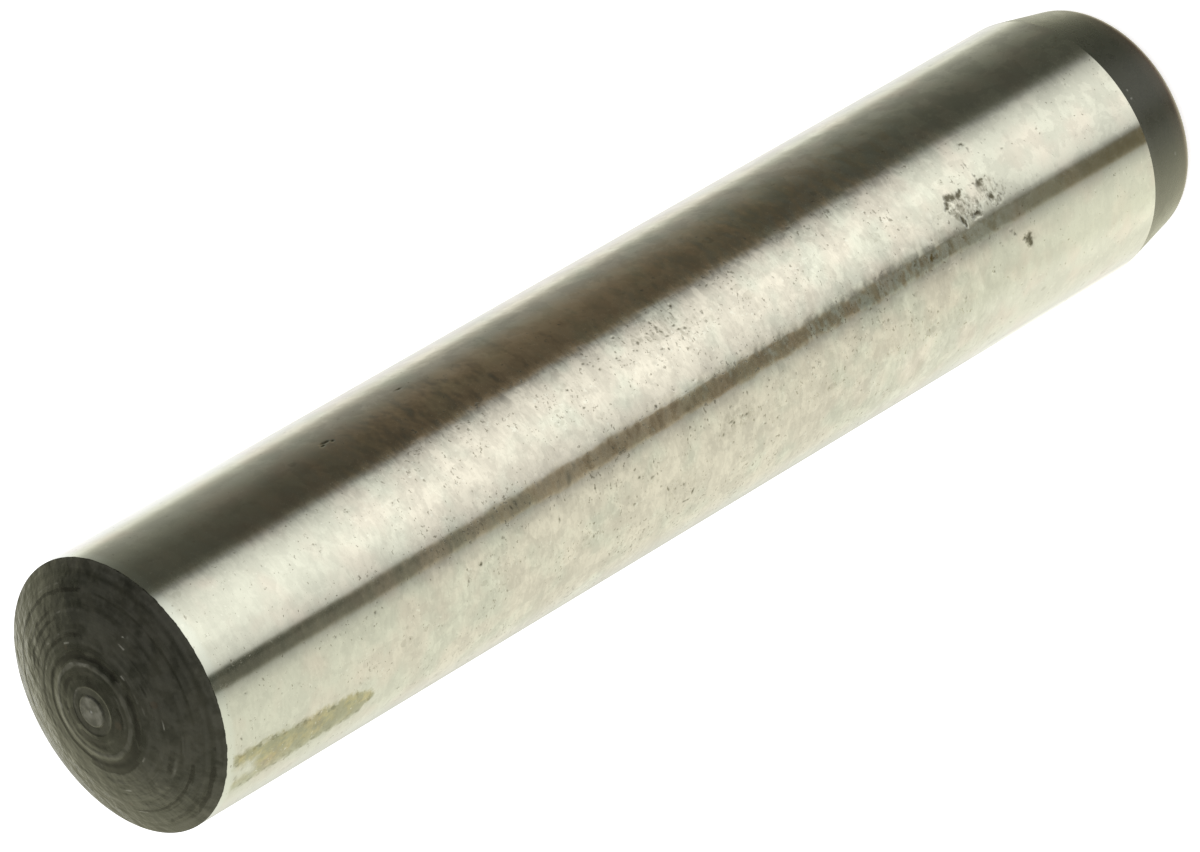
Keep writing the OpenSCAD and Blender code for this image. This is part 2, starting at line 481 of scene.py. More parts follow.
def add(tree, kind, values=None, **settings):
    """Adds a node, sets its properties, then fills its inputs."""
    node = tree.nodes.new("ShaderNode" + kind)
    for name, value in settings.items():
        setattr(node, name, value)
    return fill(tree, node, values)


def calc(tree, operation, *values):
    return add(tree, "Math", dict(enumerate(values)), operation=operation).outputs[0]


def chain(tree, operation, first, *others):
    """Carries one operation through all the values, from the first to the last."""
    for other in others:
        first = calc(tree, operation, first, other)
    return first


def times(tree, *values):
    return chain(tree, "MULTIPLY", *values)


def least(tree, *values):
    return chain(tree, "MINIMUM", *values)


def most(tree, *values):
    return chain(tree, "MAXIMUM", *values)


def less(tree, value, taken):
    return calc(tree, "SUBTRACT", value, taken)


def plus(tree, base, value, gain):
    """The base, with gain times the value added to it."""
    return calc(tree, "MULTIPLY_ADD", value, gain, base)


def apart(tree, value, middle=0.0):
    """How far the value is from the middle, on either side of it."""
    return calc(tree, "ABSOLUTE", less(tree, value, middle))


def length(tree, x, y):
    return calc(tree, "SQRT", calc(tree, "ADD", times(tree, x, x), times(tree, y, y)))


def ease(tree, value, low, high, at_low=0.0, at_high=1.0):
    """A smooth step of the value, from at_low at low to at_high at high."""
    values = {"Value": value, "From Min": low, "From Max": high, "To Min": at_low, "To Max": at_high}
    return add(tree, "MapRange", values, interpolation_type="SMOOTHSTEP").outputs["Result"]


def within(tree, value, start, full, fade, end):
    """1 while the value is from full to fade, easing to 0 at start and at end."""
    return times(tree, ease(tree, value, start, full), ease(tree, value, end, fade))


def spread(tree, value, low, high, amount):
    """An uneven factor round 1: the value eased from low to high gives 1 - amount to 1 + amount."""
    return ease(tree, value, low, high, 1 - amount, 1 + amount)


def opaque(colour):
    """Red, green and blue with a full alpha; a socket is left as it is."""
    return (*colour, 1) if isinstance(colour, tuple) else colour


def blend(tree, amount, plain, changed, kind="MIX"):
    values = {0: amount, 6: opaque(plain), 7: opaque(changed)}
    return add(tree, "Mix", values, data_type="RGBA", blend_type=kind).outputs[2]


def lay(tree, colour, mask, share, other):
    """Lays the other colour over the first where the mask is, and at most by that share."""
    return blend(tree, times(tree, mask, share), colour, other)


def grey(tree, value):
    return add(tree, "CombineColor", {0: value, 1: value, 2: value}).outputs[0]


def stretch(tree, vector, x, y, z):
    return add(tree, "VectorMath", {0: vector, 1: (x, y, z)}, operation="MULTIPLY").outputs[0]


def shift(tree, vector, x, y, z):
    return add(tree, "VectorMath", {0: vector, 1: (x, y, z)}, operation="ADD").outputs[0]


def fractal(tree, vector, scale, detail=3.0, roughness=0.55, distortion=0.0):
    return add(tree, "TexNoise", {
        "Vector": vector, "Scale": scale, "Detail": detail,
        "Roughness": roughness, "Distortion": distortion,
    }).outputs[0]


def swing(tree, vector, scale, detail, roughness):
    """The fractal as a swing to either side of 0."""
    return less(tree, fractal(tree, vector, scale, detail, roughness), 0.5)


def carried(tree, name):
    """A value that the mesh carries at its points."""
    return add(tree, "Attribute", attribute_name=name).outputs["Fac"]


def new_group(name, inputs, outputs):
    """A shader node group: inputs are (name, default), outputs are (name, socket kind)."""
    tree = bpy.data.node_groups.new(name, "ShaderNodeTree")
    for socket, default in inputs:
        made = tree.interface.new_socket(socket, in_out="INPUT", socket_type="NodeSocketFloat")
        made.default_value = default
    for socket, kind in outputs:
        tree.interface.new_socket(socket, in_out="OUTPUT", socket_type="NodeSocket" + kind)
    return tree, tree.nodes.new("NodeGroupInput").outputs, tree.nodes.new("NodeGroupOutput").inputs


def place(tree, group, values=None):
    """Places a node group in a tree and fills its inputs."""
    return add(tree, "Group", values, node_tree=group).outputs


def new_material(name):
    """A material, with its node tree and its shader."""
    material = bpy.data.materials.new(name)
    material.use_nodes = True
    tree = material.node_tree
    return material, tree, tree.nodes["Principled BSDF"]


def dress(tree, shader, colour, roughness, relief, bump_depth):
    """Gives the shader its colour, its roughness and a bump, as deep in metres as bump_depth says."""
    bump = add(tree, "Bump", {"Strength": 1.0, "Distance": bump_depth, "Height": relief})
    fill(tree, shader, {"Base Color": colour, "Roughness": roughness, "Normal": bump.outputs[0]})


# ---------------- effects shared by both finishes


def position_group():
    """Where a point is on the pin, in millimetres and degrees, and where it is along the tool's path."""
    tree, _, out = new_group("place on the pin", [], [
        ("Point", "Vector"), ("Height", "Float"), ("Degrees", "Float"), ("Out", "Float"),
        ("Tool Path", "Vector"),
    ])
    point = stretch(tree, add(tree, "TexCoord").outputs["Object"], 1 / MM, 1 / MM, 1 / MM)
    parts = add(tree, "SeparateXYZ", {0: point}).outputs
    x, y = times(tree, parts[0], -1.0), times(tree, parts[1], -1.0)
    r = length(tree, x, y)
    safe_r = most(tree, r, 0.01)
    path = add(tree, "CombineXYZ", {
        0: calc(tree, "DIVIDE", x, safe_r), 1: calc(tree, "DIVIDE", y, safe_r), 2: less(tree, r, parts[2]),
    })
    link = tree.links.new
    link(point, out["Point"])
    link(parts[2], out["Height"])
    link(calc(tree, "DEGREES", calc(tree, "ARCTAN2", x, y)), out["Degrees"])
    link(r, out["Out"])
    link(path.outputs[0], out["Tool Path"])
    return tree


def freckles_group():
    """Sparse small spots: Spacing apart, up to Size across, fewer as Amount falls."""
    tree, given, out = new_group(
        "freckles", [("Spacing", 0.5), ("Size", 0.3), ("Amount", 1.0)], [("Mask", "Float")],
    )
    tree.interface.new_socket("Vector", in_out="INPUT", socket_type="NodeSocketVector")
    scale = calc(tree, "DIVIDE", 1.0, given["Spacing"])
    wobble = add(tree, "TexNoise", {"Vector": given["Vector"], "Scale": times(tree, scale, 4.0)})
    bent = add(tree, "VectorMath", {
        0: wobble.outputs["Color"], 1: (0.05, 0.05, 0.05), 2: given["Vector"],
    }, operation="MULTIPLY_ADD").outputs[0]
    cells = add(tree, "TexVoronoi", {"Vector": bent, "Scale": scale}).outputs
    chance = add(tree, "SeparateColor", {0: cells["Color"]}).outputs[0]
    lucky = ease(tree, chance, less(tree, 1.0, given["Amount"]), 1.0)
    inside = less(tree, times(tree, given["Size"], lucky), cells["Distance"])
    tree.links.new(ease(tree, inside, 0.0, 0.08), out["Mask"])
    return tree


def oval_group():
    """How far inside an oval patch a point lies: 1 in its middle, 0 at its edge and outside."""
    tree, given, out = new_group("oval patch", [
        ("Height", 0.0), ("Degrees", 0.0), ("Up", 0.0), ("Round", 0.0),
        ("Half Up", 1.0), ("Half Round", 1.0),
    ], [("Mask", "Float")])
    up = calc(tree, "DIVIDE", less(tree, given["Height"], given["Up"]), given["Half Up"])
    off = times(tree, less(tree, given["Degrees"], given["Round"]), math.radians(SHANK_R))
    across = calc(tree, "DIVIDE", off, given["Half Round"])
    inside = less(tree, 1.0, length(tree, up, across))
    tree.links.new(most(tree, inside, 0.0), out["Mask"])
    return tree


def freckles(tree, vector, spacing, size, amount):
    values = {"Vector": vector, "Spacing": spacing, "Size": size, "Amount": amount}
    return place(tree, FRECKLES, values)["Mask"]


def oval(tree, at, height, degrees, half_up, half_round):
    return place(tree, OVAL, {
        "Height": at["Height"], "Degrees": at["Degrees"], "Up": height, "Round": degrees,
        "Half Up": half_up, "Half Round": half_round,
    })["Mask"]


# ---------------- ground steel

GREEN_STEEL = (0.649, 0.660, 0.610)
PINK_STEEL = (0.682, 0.652, 0.604)
RIM_HIGHLIGHT_STEEL = (0.70, 0.735, 0.70)
CLOUDED_STEEL = (0.275, 0.265, 0.215)
GLINT = (0.80, 0.81, 0.77)
SPECK = (0.165, 0.150, 0.112)
SMEAR = (0.2, 0.19, 0.15)
PIT_RIM = (0.2, 0.195, 0.155)
PIT_FLOOR = (0.125, 0.115, 0.082)
EDGE_SCALE = (0.05, 0.05, 0.04)
STEEL_ROUGHNESS, FOOT_ROUGHNESS = 0.06, 0.085
STEEL_BUMP = 0.000013

# The oily stain beside the dome, in millimetres up the pin and degrees round it: its two ends, its middle
# line and half width, where it narrows to its tip, and the bare tongue that runs into it from the dome
STAIN_TOP, STAIN_TIP = 49.6, 42.8
STAIN_MIDDLE, STAIN_LEAN, STAIN_HALF, STAIN_NARROWING = 55.9, 0.2, 9.6, 0.5
STAIN_TAPER_FROM = 44.1
TONGUE_DEGREES, TONGUE_HALF, TONGUE_END = 56.6, 3.6, 48.6

# What the stain leaves of the steel's colour: in its dull and olive clouds, its rosy ones, past its
# middle, in its streaks and in the crumbs along its outline
DULL_STAIN, OLIVE_STAIN = (0.58, 0.57, 0.45), (0.76, 0.70, 0.475)
ROSY_STAIN = (0.76, 0.69, 0.56)
FAR_STAIN = (0.71, 0.72, 0.62)
STREAKED_STAIN = (0.56, 0.56, 0.44)
STAIN_CRUMBS = (0.38, 0.37, 0.29)

# Where the skin is cloudy with corrosion: height, degrees, half size along and round in mm, strength
CORRODED = [
    (12.05, 3.0, 1.15, 0.75, 0.82), (10.60, 2.5, 1.05, 0.80, 0.75), (26.60, -18.5, 2.2, 0.75, 0.55),
    (25.50, -13.0, 1.1, 0.55, 0.5), (25.00, 31.0, 1.5, 0.7, 0.5), (29.40, 33.0, 1.3, 0.8, 0.4),
    (27.90, 46.0, 1.6, 1.2, 0.42), (32.60, 44.5, 1.3, 0.5, 0.42), (13.90, 14.5, 0.7, 0.3, 0.25),
    (31.00, -14.0, 2.0, 0.9, 0.28), (33.50, 0.0, 2.4, 0.5, 0.22), (22.50, 33.0, 1.4, 0.8, 0.3),
]


def polish(tree, at, busy):
    """How bright the polish is from spot to spot, and the clouds and strokes that make it so."""
    point, height = at["Point"], at["Height"]
    cloud = fractal(tree, point, 0.55, 3.0, 0.5)
    patch = fractal(tree, point, 1.2, 5.0, 0.6, 0.25)
    flake = fractal(tree, stretch(tree, point, 1.0, 1.0, 2.4), 1.8, 3.6, 0.62, 0.7)
    grain = fractal(tree, point, 9.0, 2.0, 0.6)
    broad = times(tree, spread(tree, cloud, 0.42, 0.58, 0.035), spread(tree, patch, 0.465, 0.535, 0.05))
    calm = times(tree, ease(tree, height, 47.0, 36.0, 0.55, 1.0), ease(tree, height, 7.0, 14.0, 1.1, 1.05))
    # Past its front the foot end is smoother
    smooth = times(tree, ease(tree, height, 16.0, 10.0), ease(tree, at["Degrees"], 12.0, 20.0))
    calm = plus(tree, calm, times(tree, calm, smooth), -0.55)
    broad = plus(tree, 1.0, less(tree, broad, 1.0), calm)
    fine = times(tree, spread(tree, flake, 0.45, 0.55, 0.042), spread(tree, grain, 0.35, 0.65, 0.02))
    fine = plus(tree, 1.0, less(tree, fine, 1.0), busy)
    # Stronger strokes along the line where the skin turns away from the light
    turning = times(tree, within(tree, at["Degrees"], -34.0, -28.0, -26.0, -18.0), busy)
    combed = less(tree, spread(tree, flake, 0.44, 0.56, 0.09), 1.0)
    fine = plus(tree, fine, combed, turning)
    return times(tree, broad, fine), patch, flake


def bare_steel(tree, at, uneven, patch):
    """The steel's own colour, in greenish and pinkish clouds, with a painted highlight in a line beside the
    dome.
    """
    tint = fractal(tree, shift(tree, at["Point"], 7.0, 3.0, 5.0), 0.7, 2.0, 0.5)
    rosy = within(tree, at["Height"], 7.0, 24.0, 33.0, 47.0)
    tint = plus(tree, less(tree, tint, 0.09), rosy, 0.18)
    colour = blend(tree, ease(tree, tint, 0.36, 0.64), GREEN_STEEL, PINK_STEEL)
    colour = blend(tree, 1.0, colour, grey(tree, uneven), "MULTIPLY")
    # Painted highlight in a narrow line beside the dome's edge
    rim_highlight = plus(tree, at["Height"], patch, 0.3)
    rim_highlight = ease(tree, rim_highlight, PIN_LENGTH - 0.35, PIN_LENGTH - 0.05)
    return lay(tree, colour, rim_highlight, 0.75, RIM_HIGHLIGHT_STEEL)


def stain_mask(tree, at):
    """How much of the oily stain is on that point, and where its darker outline runs."""
    height = plus(tree, at["Height"], swing(tree, at["Point"], 1.5, 3.0, 0.55), 0.9)
    degrees = plus(tree, at["Degrees"], swing(tree, at["Point"], 3.4, 3.0, 0.6), 6.5)
    down = less(tree, STAIN_TOP, height)
    middle = plus(tree, STAIN_MIDDLE, down, STAIN_LEAN)
    tip = calc(tree, "DIVIDE", less(tree, STAIN_TAPER_FROM, height), STAIN_TAPER_FROM - STAIN_TIP)
    tip = most(tree, tip, 0.0)
    tip = times(tree, tip, tip, STAIN_HALF)
    half = less(tree, plus(tree, STAIN_HALF, down, -STAIN_NARROWING), tip)
    inside = least(tree, less(tree, half, apart(tree, degrees, middle)), times(tree, down, DEGREES_PER_MM))
    off_tongue = less(tree, apart(tree, degrees, TONGUE_DEGREES), TONGUE_HALF)
    off_tongue = most(tree, off_tongue, times(tree, less(tree, TONGUE_END, height), DEGREES_PER_MM))
    kept = times(tree, ease(tree, off_tongue, -3.0, 3.2), ease(tree, inside, -1.6, 2.2))
    return kept, within(tree, inside, -0.5, 0.6, 1.0, 3.4)


def stained(tree, at, colour):
    """Lays the stain over the colour: olive, streaked and cloudy, with dark crumbs along its outline."""
    mask, outline = stain_mask(tree, at)
    patches = fractal(tree, at["Point"], 1.0, 3.0, 0.6)
    streaks = fractal(tree, stretch(tree, at["Point"], 3.0, 3.0, 2.4), 1.0, 4.0, 0.62)
    olive = blend(tree, ease(tree, patches, 0.40, 0.54), DULL_STAIN, OLIVE_STAIN)
    olive = blend(tree, ease(tree, patches, 0.56, 0.66), olive, ROSY_STAIN)
    olive = blend(tree, ease(tree, at["Degrees"], 58.0, 65.0), olive, FAR_STAIN)
    olive = blend(tree, ease(tree, streaks, 0.34, 0.60), STREAKED_STAIN, olive)
    colour = blend(tree, mask, colour, olive, "MULTIPLY")
    crumbs = ease(tree, fractal(tree, at["Point"], 4.0), 0.50, 0.62)
    crumbs = times(tree, crumbs, plus(tree, times(tree, mask, 0.2), outline, 0.5), 0.8)
    return blend(tree, crumbs, colour, STAIN_CRUMBS, "MULTIPLY"), mask


def corrosion_cloud(tree, at):
    """The grey clouding round the pits, broken by bright veins, and how strong it is round each point."""
    clouding = most(tree, *[
        times(tree, ease(tree, oval(tree, at, *spot), 0.0, 0.6), strength) for *spot, strength in CORRODED
    ])
    grain = fractal(tree, at["Point"], 3.0, 4.0, 0.6)
    veins = apart(tree, fractal(tree, stretch(tree, at["Point"], 1.0, 1.0, 1.7), 2.0), 0.5)
    cloudy = ease(tree, plus(tree, grain, clouding, 0.42), 0.52, 0.86)
    return times(tree, cloudy, clouding, ease(tree, veins, 0.0, 0.11, 0.1, 1.0)), clouding


def specked(tree, at, colour, busy, clouding, flake):
    """Lays glints, crumbs, specks and smears over the colour, more of them where they gather."""
    point = at["Point"]
    gathered = times(tree, ease(tree, fractal(tree, point, 0.8, 2.0), 0.60, 0.42), busy)
    crowded = most(tree, gathered, times(tree, clouding, 1.5))
    glints = fractal(tree, shift(tree, point, 3.0, 8.0, 1.0), 6.0, 3.0, 0.6)
    glints = ease(tree, plus(tree, glints, crowded, 0.06), 0.66, 0.73)
    crumbs = fractal(tree, stretch(tree, point, 1.0, 1.0, 1.3), 6.0, 3.0, 0.6)
    crumbs = ease(tree, plus(tree, crumbs, crowded, 0.085), 0.675, 0.745)
    amount = plus(tree, 0.04, gathered, 0.26)
    specks = freckles(tree, stretch(tree, point, 1.0, 1.0, 0.75), 0.24, 0.20, amount)
    specks = most(tree, times(tree, crumbs, 0.55), times(tree, specks, 0.34))
    smears = freckles(tree, stretch(tree, point, 1.7, 1.7, 0.9), 0.8, 0.40, times(tree, gathered, 0.55))
    smears = times(tree, smears, ease(tree, flake, 0.44, 0.54))
    colour = lay(tree, colour, glints, 0.5, GLINT)
    colour = blend(tree, specks, colour, SPECK)
    return lay(tree, colour, smears, 0.22, SMEAR), specks


def pit_darkened(tree, at, colour):
    """Darkens the pits and, less so, the skin round them."""
    pitted = carried(tree, "pitted")
    ragged = swing(tree, at["Point"], 6.0, 3.0, 0.6)
    pit = ease(tree, plus(tree, pitted, ragged, 0.9), 0.36, 0.84)
    around = ease(tree, plus(tree, pitted, ragged, 1.3), 0.15, 0.75)
    colour = lay(tree, colour, around, 0.30, PIT_RIM)
    return lay(tree, colour, pit, 0.92, PIT_FLOOR), pit


def ground_steel():
    mat, tree, shader = new_material("ground_steel")
    at = place(tree, POSITION)
    point, height = at["Point"], at["Height"]

    # busy is 1 in the handled middle of the pin and less towards its ends and past its front
    busy = times(tree, ease(tree, height, 47.0, 36.0, 0.5, 1.0), ease(tree, height, 8.0, 18.0, 0.3, 1.0))
    busy = times(tree, busy, ease(tree, at["Degrees"], -36.0, -25.0, 0.15, 1.0))
    uneven, patch, flake = polish(tree, at, busy)
    colour = bare_steel(tree, at, uneven, patch)
    colour, oily = stained(tree, at, colour)
    cloudy, clouding = corrosion_cloud(tree, at)
    colour = lay(tree, colour, cloudy, 0.72, CLOUDED_STEEL)
    colour, specks = specked(tree, at, colour, busy, clouding, flake)
    colour, pit = pit_darkened(tree, at, colour)
    # Dark scale that runs a hair's breadth over the dome's edge
    notches = plus(tree, height, fractal(tree, point, 2.6, 4.0, 0.6), 0.16)
    notches = ease(tree, notches, PIN_LENGTH + 0.055, PIN_LENGTH + 0.085)
    colour = blend(tree, notches, colour, EDGE_SCALE)

    roughness = plus(tree, ease(tree, height, 4.0, 14.0, FOOT_ROUGHNESS, STEEL_ROUGHNESS), patch, 0.05)
    roughness = plus(tree, roughness, most(tree, specks, pit, cloudy), 0.22)
    roughness = plus(tree, roughness, oily, 0.05)
    # The skin is wavy in the middle of the pin, and less so near its ends
    wavy = times(tree, ease(tree, height, 43.0, 34.0, 0.25, 1.0), ease(tree, height, 8.0, 15.0, 0.12, 1.0))
    relief = times(tree, swing(tree, stretch(tree, point, 1.0, 1.0, 0.9), 1.2, 2.2, 0.42), wavy)
    relief = plus(tree, relief, most(tree, specks, pit), -0.09)
    dress(tree, shader, colour, roughness, relief, STEEL_BUMP)
    shader.inputs["Metallic"].default_value = 1.0
    return mat


# ---------------- dark heat-treatment scale

# The scale on the lead end, and on the dome: its clouds, its mottle and the threads of the tool's path, with
# painted highlight and painted shade on the threads
LEAD_SCALE = (0.0430, 0.0450, 0.0315)
DARK_CLOUD, LIGHT_CLOUD = (0.0178, 0.0184, 0.0118), (0.0308, 0.0303, 0.0204)
DARK_MOTTLE, LIGHT_MOTTLE = (0.0120, 0.0125, 0.0080), (0.050, 0.049, 0.035)
THREAD_SHADE, THREAD_HIGHLIGHT = (0.0100, 0.0105, 0.0070), (0.066, 0.063, 0.048)
RUBBED_CREST_HIGHLIGHT = (0.086, 0.084, 0.066)
DARK_PIP, LIGHT_PIP = (0.078, 0.077, 0.059), (0.118, 0.115, 0.090)
CENTRE_POINT = (0.22, 0.22, 0.2)
RING_GRIME_AND_SHADE = (0.0092, 0.0085, 0.0050)
SCORED = (0.165, 0.162, 0.135)
RUST = (0.060, 0.038, 0.022)
NICKED = (0.20, 0.20, 0.17)
BROWN_ROUND, BROWN_RIM = (0.080, 0.066, 0.046), (0.130, 0.078, 0.050)
ROLLED_EDGE_HIGHLIGHT = (0.13, 0.13, 0.105)
SCALE_BUMP = 0.000034

# Light nicks in the chamfer: height, degrees, half size along and round in millimetres
NICKS = [(2.57, -5.0, 0.10, 0.09), (2.63, -1.2, 0.12, 0.07), (1.30, 31.0, 0.05, 0.12)]


def clouded_scale(tree, at, mottle, domed, even, clear):
    """The scale's own colour, and the mottle on the dome."""
    cloud = fractal(tree, at["Point"], 0.8, 3.0, 0.55)
    colour = blend(tree, ease(tree, cloud, 0.40, 0.60), DARK_CLOUD, LIGHT_CLOUD)
    colour = blend(tree, domed, LEAD_SCALE, colour)
    mottled = times(tree, plus(tree, 1.0, even, -0.7), domed, clear)
    mottled = plus(tree, 0.04, mottled, 0.28)
    colour = lay(tree, colour, ease(tree, mottle, 0.50, 0.66), mottled, LIGHT_MOTTLE)
    return lay(tree, colour, ease(tree, mottle, 0.47, 0.35), mottled, DARK_MOTTLE)


def threaded(tree, at, colour, threads, domed, even, clear):
    """Lays the tool's path over the dome in broken threads, with painted highlight and painted shade along
    them.
    """
    shown = times(tree, ease(tree, fractal(tree, at["Point"], 0.7, 2.0), 0.40, 0.60, 0.25, 1.0), domed)
    shown = times(tree, shown, plus(tree, 1.0, even, -0.75), clear)
    # Painted highlight and painted shade along the tool's threads
    thread_highlights = times(tree, ease(tree, threads, 0.54, 0.70), shown)
    colour = lay(tree, colour, thread_highlights, 0.30, THREAD_HIGHLIGHT)
    thread_shades = times(tree, ease(tree, threads, 0.45, 0.32), shown)
    return lay(tree, colour, thread_shades, 0.30, THREAD_SHADE)


def ringed(tree, at, colour, mottle, domed, clear):
    """Lays the rubbed crests with painted highlight, the pip, the grime with painted shade in the rings, and
    the scores over the dome.
    """
    out, crest = at["Out"], carried(tree, "crest")
    unevenly = less(tree, mottle, 0.5)
    worn = ease(tree, fractal(tree, at["Point"], 2.0, 2.0), 0.36, 0.58, 0.3, 1.0)
    # Painted highlight, partly rubbed wear, on the crests and the lighter rings
    rubbed_highlight = times(tree, crest, worn, ease(tree, out, 2.1, 2.3, 1.0, clear))
    colour = lay(tree, colour, rubbed_highlight, 0.75, RUBBED_CREST_HIGHLIGHT)
    pip_edge = plus(tree, less(tree, out, 0.07), mottle, 0.14)
    pip = times(tree, ease(tree, pip_edge, PIP_R + 0.01, PIP_R - 0.07), domed)
    pip_colour = blend(tree, ease(tree, mottle, 0.40, 0.60), DARK_PIP, LIGHT_PIP)
    colour = lay(tree, colour, pip, 0.9, pip_colour)
    centre = times(tree, ease(tree, out, 0.07, 0.03), domed)
    colour = lay(tree, colour, centre, 0.9, CENTRE_POINT)
    # Painted shade, partly grime, in the sunk rings and along the darker arcs
    sunk = ease(tree, plus(tree, carried(tree, "grime_and_shade"), unevenly, -1.2), 0.12, 0.6)
    colour = lay(tree, colour, sunk, 0.9, RING_GRIME_AND_SHADE)
    scored = times(tree, ease(tree, plus(tree, crest, unevenly, 2.0), 0.95, 1.5), domed)
    return lay(tree, colour, scored, 0.8, SCORED), sunk


def worn_and_highlit_lead(tree, at, colour, mottle, domed):
    """Lays rust over the scale, and nicks, a browned rim and a painted highlight on the rolled edge over the
    lead end.
    """
    height = at["Height"]
    colour = lay(tree, colour, freckles(tree, at["Point"], 0.8, 0.24, 0.35), 0.28, RUST)
    for spot in NICKS:
        nick = plus(tree, less(tree, oval(tree, at, *spot), 0.4), mottle, 0.8)
        colour = lay(tree, colour, ease(tree, nick, 0.15, 0.7), 0.9, NICKED)
    colour = lay(tree, colour, ease(tree, height, 1.4, 0.7), 0.55, BROWN_ROUND)
    colour = lay(tree, colour, ease(tree, height, 0.74, 0.42), 0.9, BROWN_RIM)
    # Painted highlight along the chamfer's edge, on one side only
    rolled_highlight = times(tree, ease(tree, height, CHAMFER_LENGTH - 0.5, CHAMFER_LENGTH), less(tree, 1.0, domed))
    rolled_highlight = times(tree, rolled_highlight, ease(tree, at["Degrees"], -5.0, 25.0))
    return lay(tree, colour, rolled_highlight, 0.25, ROLLED_EDGE_HIGHLIGHT)


def dark_scale():
    mat, tree, shader = new_material("dark_scale")
    at = place(tree, POSITION)
    point, out = at["Point"], at["Out"]
    domed = ease(tree, at["Height"], PIN_LENGTH - 5.0, PIN_LENGTH - 1.0)
    mottle = fractal(tree, point, 2.2, 2.6, 0.55)
    threads = fractal(tree, stretch(tree, at["Tool Path"], 2.6, 2.6, 6.0), 1.0, 1.8, 0.55)
    # The side of the dome above the long seam is evenly dark; the rest of it is mottled
    even = times(tree, ease(tree, out, 2.4, 3.6), ease(tree, apart(tree, at["Degrees"], -10.0), 95.0, 50.0))
    # The mottle and the tool marks are fainter on the side away from the stain
    clear = ease(tree, apart(tree, at["Degrees"], -105.0), 20.0, 55.0, 0.5, 1.0)

    colour = clouded_scale(tree, at, mottle, domed, even, clear)
    colour = threaded(tree, at, colour, threads, domed, even, clear)
    colour, sunk = ringed(tree, at, colour, mottle, domed, clear)
    colour = worn_and_highlit_lead(tree, at, colour, mottle, domed)

    roughness = plus(tree, ease(tree, domed, 0.0, 1.0, 0.18, 0.11), mottle, 0.20)
    roughness = plus(tree, roughness, sunk, 0.16)
    # Slow waves, stronger past the crown, with the threads and the mottle lightly over them
    waves = fractal(tree, point, 1.5, 2.0, 0.5)
    far = ease(tree, apart(tree, at["Degrees"]), 90.0, 140.0, 1.4, 3.8)
    relief = times(tree, plus(tree, times(tree, mottle, 0.45), threads, 0.35), clear)
    relief = plus(tree, relief, waves, far)
    relief = times(tree, relief, times(tree, domed, ease(tree, out, 2.0, 3.4, 0.3, 1.0)))
    relief = plus(tree, relief, mottle, 0.05)
    dress(tree, shader, colour, roughness, relief, SCALE_BUMP)
    return mat


# ---------------- studio

WHITE = (1, 1, 1)
FLOOR_SIZE = 8.0
FLOOR_GLOW = 0.72


def add_floor():
    bm = bmesh.new()
    bmesh.ops.create_grid(bm, x_segments=1, y_segments=1, size=FLOOR_SIZE)
    mesh = bpy.data.meshes.new("floor")
    bm.to_mesh(mesh)
    bm.free()
    floor = bpy.data.objects.new("floor", mesh)
    bpy.context.scene.collection.objects.link(floor)
    mat, tree, shader = new_material("floor")
    glow = times(tree, add(tree, "LightPath").outputs["Is Camera Ray"], FLOOR_GLOW)
    fill(tree, shader, {
        "Base Color": (0.8, 0.8, 0.8, 1), "Roughness": 1.0, "Specular IOR Level": 0.0,
        "Emission Color": opaque(WHITE), "Emission Strength": glow,
    })
    mesh.materials.append(mat)
    floor.visible_glossy = False


# What the pin mirrors on each side of it: degrees from the front round towards -X, then brightness
TENT = [
    (-180, 0.86), (-168, 0.98), (-140, 0.97), (-131, 0.54), (-122, 0.35), (-108, 0.235),
    (-94, 0.145), (-84, 0.107), (-64, 0.087), (-58, 0.120), (-53, 0.27), (-48, 0.62), (-44, 0.80),
    (-36, 1.06), (-24, 1.25), (-12, 1.28), (-4, 1.22), (4, 1.07), (10, 1.01), (16, 0.86), (19.85, 0.64),
    (21.8, 0.25), (26, 0.205), (34, 0.235), (37, 0.48), (42, 0.67), (50, 0.87), (64, 0.96), (146, 0.97),
    (160, 0.87), (171, 0.70), (180, 0.84),
]
# The dark gap and the seam in the tent: the degrees where each eases in, is whole, eases out and ends, and
# how its colour changes with the sine of the angle below the horizon
BELOW_LOW, BELOW_HIGH = 0.55, 0.67
GAP_SPAN = (-120.0, -84.0, -59.0, -51.0)
GAP = [
    (0.562, (0.86, 0.89, 0.79)), (0.571, (0.97, 0.99, 0.84)), (0.580, (0.96, 0.93, 0.76)),
    (0.589, (0.66, 0.60, 0.50)), (0.599, (1.22, 0.98, 0.69)), (0.610, (1.66, 1.31, 0.905)),
    (0.620, (1.50, 1.226, 0.886)), (0.630, (1.18, 1.02, 0.715)), (0.6385, (1.025, 0.94, 0.735)),
    (0.651, (1.00, 1.03, 0.89)), (0.662, (0.92, 0.95, 0.835)),
]
SEAM_SPAN = (19.5, 23.0, 34.5, 38.0)
SEAM = [
    (0.562, (0.48, 0.49, 0.43)), (0.573, (0.566, 0.576, 0.50)), (0.581, (0.69, 0.684, 0.588)),
    (0.590, (1.05, 0.985, 0.835)), (0.600, (1.49, 1.37, 1.15)), (0.610, (1.62, 1.45, 1.15)),
    (0.620, (1.42, 1.22, 0.94)), (0.630, (0.50, 0.32, 0.14)), (0.6385, (1.34, 1.18, 0.86)),
    (0.651, (2.45, 2.9, 3.2)), (0.6555, (0.96, 0.84, 0.53)), (0.662, (0.56, 0.41, 0.17)),
]
